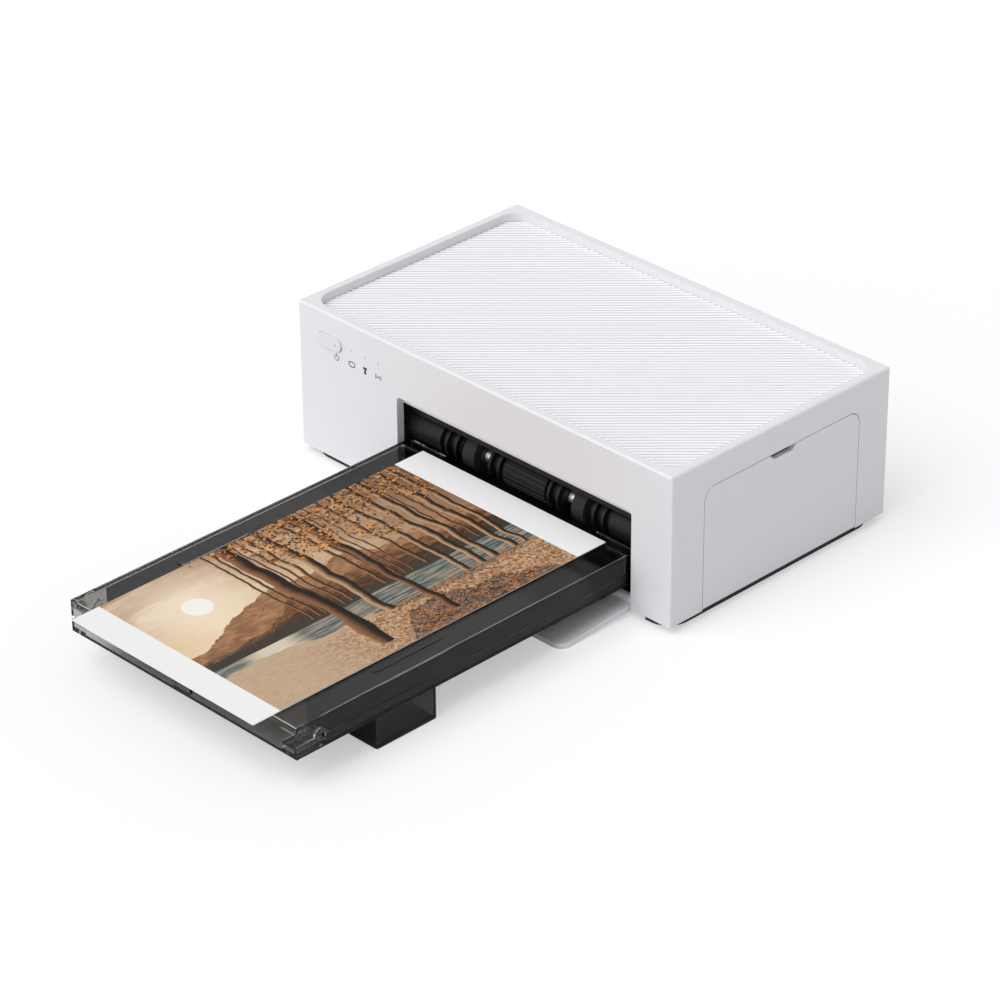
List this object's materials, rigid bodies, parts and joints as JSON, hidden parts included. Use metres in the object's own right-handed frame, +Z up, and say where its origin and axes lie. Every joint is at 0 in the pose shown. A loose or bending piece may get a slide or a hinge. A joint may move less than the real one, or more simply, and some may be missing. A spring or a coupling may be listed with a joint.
{
  "type": "photo printer",
  "caption": "Compact white photo printer with a ribbed top, an open front flap, a side door and a smoke-tinted paper cassette that carries a finished print.",
  "frame": {"origin": "middle of the white housing's footprint, on the surface that the printer stands on", "axes": "+X to the right as seen from the front, +Y from the front face to the back, +Z up"},
  "size_m": [0.208, 0.3061, 0.0695],
  "materials": {
    "white_shell": "fine matt moulded plastic",
    "white_top": "matt, ribbed",
    "black_base": "matt",
    "foot_rubber": "matt",
    "black_inner": "satin",
    "plated_steel": "zinc plated sheet",
    "bright_steel": "ground",
    "brass": "turned",
    "motor_steel": "satin",
    "circuit_board": "lacquered",
    "black_parts": "satin",
    "port_shell": "plated",
    "lamp_clear": "clear, polished",
    "button_white": "satin",
    "cartridge_grey": "satin",
    "ribbon": "coated film",
    "spool_white": "moulded",
    "smoke_plastic": "smoke tinted, see-through, polished",
    "cork": "matt",
    "photo_paper": "glossy photographic print with white ends",
    "hub_grey": "satin",
    "roller_rubber": "ground rubber",
    "gear_nylon": "moulded",
    "sink_aluminium": "extruded",
    "head_ceramic": "glazed"
  },
  "bodies": {
    "printer": {"housing": "white_shell", "top_panel": "white_top", "base_plate": "black_base", "rubber_feet": "foot_rubber", "front_frame": "black_inner", "feed_guide": "black_inner", "left_chassis": "plated_steel", "right_chassis": "plated_steel", "chassis_ties": "bright_steel", "shaft_bushes": "brass", "gear_plate": "plated_steel", "feed_motor": "motor_steel", "capstan_motor": "motor_steel", "main_board": "circuit_board", "board_parts": "black_parts", "power_socket": "black_parts", "data_socket": "port_shell", "button_board": "circuit_board", "status_lenses": "lamp_clear", "door_catch": "black_inner", "paper_deck": "black_inner", "cartridge_rests": "black_inner", "cartridge_case": "cartridge_grey", "ribbon_film": "ribbon", "case_screws": "bright_steel", "head_shaft": "bright_steel"},
    "button": {"power_button": "button_white", "button_lens": "lamp_clear"},
    "flap": {"front_flap": "white_shell", "flap_pins": "bright_steel"},
    "door": {"side_door": "white_shell", "door_pins": "bright_steel"},
    "cassette": {"cassette_tray": "smoke_plastic", "cassette_liner": "black_inner", "support_feet": "smoke_plastic"},
    "lid": {"cassette_lid": "smoke_plastic", "lid_pins": "bright_steel"},
    "lift": {"lift_plate": "black_inner", "friction_pad": "cork"},
    "print": {"print_sheet": "photo_paper"},
    "feed_roll": {"feed_shaft": "bright_steel", "feed_hubs": "hub_grey", "feed_tyres": "roller_rubber", "feed_gear": "gear_nylon"},
    "idler": {"idler_gear": "gear_nylon"},
    "feed_drive": {"feed_pinion": "brass"},
    "platen": {"platen_shaft": "bright_steel", "platen_rubber": "roller_rubber"},
    "capstan": {"capstan_roller": "bright_steel", "capstan_gear": "gear_nylon"},
    "capstan_drive": {"capstan_pinion": "brass"},
    "pinch": {"pinch_roller": "bright_steel"},
    "supply": {"supply_spool": "spool_white", "supply_ribbon": "ribbon"},
    "takeup": {"takeup_spool": "spool_white", "takeup_ribbon": "ribbon"},
    "head": {"head_arm": "plated_steel", "heat_sink": "sink_aluminium", "thermal_head": "head_ceramic"}
  },
  "joints": [
    {"name": "button_press", "type": "slide", "parent": "printer", "child": "button", "axis": [0, 1, 0], "range_m": [0, 0.0006], "stiffness_N_per_m": 1200, "springref_m": -0.0003},
    {"name": "flap_fold", "type": "hinge", "parent": "printer", "child": "flap", "pos_m": [0, -0.0593, 0.0057], "axis": [-1, 0, 0], "range_deg": [0, 15]},
    {"name": "door_swing", "type": "hinge", "parent": "printer", "child": "door", "pos_m": [0.1028, 0, 0.0047], "axis": [0, 1, 0], "range_deg": [0, 90]},
    {"name": "cassette_slide", "type": "slide", "parent": "printer", "child": "cassette", "axis": [0, -1, 0], "range_m": [0, 0.06]},
    {"name": "lid_swing", "type": "hinge", "parent": "cassette", "child": "lid", "pos_m": [0, -0.2305, 0.0235], "axis": [1, 0, 0], "range_deg": [0, 90]},
    {"name": "lift_tilt", "type": "hinge", "parent": "cassette", "child": "lift", "pos_m": [0, -0.1208, 0.0163], "axis": [1, 0, 0], "range_deg": [0, 3.5]},
    {"name": "print_exit", "type": "slide", "parent": "lid", "child": "print", "axis": [0, -1, 0], "range_m": [0, 0.15]},
    {"name": "feed_turn", "type": "hinge", "parent": "printer", "child": "feed_roll", "pos_m": [0, -0.0492, 0.03], "axis": [1, 0, 0], "continuous": true},
    {"name": "idler_turn", "type": "hinge", "parent": "printer", "child": "idler", "pos_m": [0, -0.03449, 0.04234], "axis": [1, 0, 0], "continuous": true},
    {"name": "feed_drive_turn", "type": "hinge", "parent": "printer", "child": "feed_drive", "pos_m": [0, -0.01849, 0.04234], "axis": [1, 0, 0], "continuous": true},
    {"name": "platen_turn", "type": "hinge", "parent": "printer", "child": "platen", "pos_m": [0, 0.009, 0.0255], "axis": [1, 0, 0], "continuous": true},
    {"name": "capstan_turn", "type": "hinge", "parent": "printer", "child": "capstan", "pos_m": [0, 0.047, 0.0285], "axis": [1, 0, 0], "continuous": true},
    {"name": "capstan_drive_turn", "type": "hinge", "parent": "printer", "child": "capstan_drive", "pos_m": [0, 0.03682, 0.03868], "axis": [1, 0, 0], "continuous": true},
    {"name": "pinch_turn", "type": "hinge", "parent": "printer", "child": "pinch", "pos_m": [0, 0.047, 0.0357], "axis": [1, 0, 0], "continuous": true},
    {"name": "supply_turn", "type": "hinge", "parent": "printer", "child": "supply", "pos_m": [0, -0.015, 0.0437], "axis": [1, 0, 0], "continuous": true},
    {"name": "takeup_turn", "type": "hinge", "parent": "printer", "child": "takeup", "pos_m": [0, 0.033, 0.0437], "axis": [1, 0, 0], "continuous": true},
    {"name": "head_lift", "type": "hinge", "parent": "printer", "child": "head", "pos_m": [0, 0.052, 0.0535], "axis": [1, 0, 0], "range_deg": [-3, 0]}
  ],
  "couplings": [
    {"joint": "idler_turn", "follows": "feed_turn", "ratio": -0.71429},
    {"joint": "feed_drive_turn", "follows": "feed_turn", "ratio": 1.6667},
    {"joint": "capstan_drive_turn", "follows": "capstan_turn", "ratio": -2},
    {"joint": "pinch_turn", "follows": "capstan_turn", "ratio": -0.75},
    {"joint": "takeup_turn", "follows": "supply_turn", "ratio": 1.5}
  ]
}
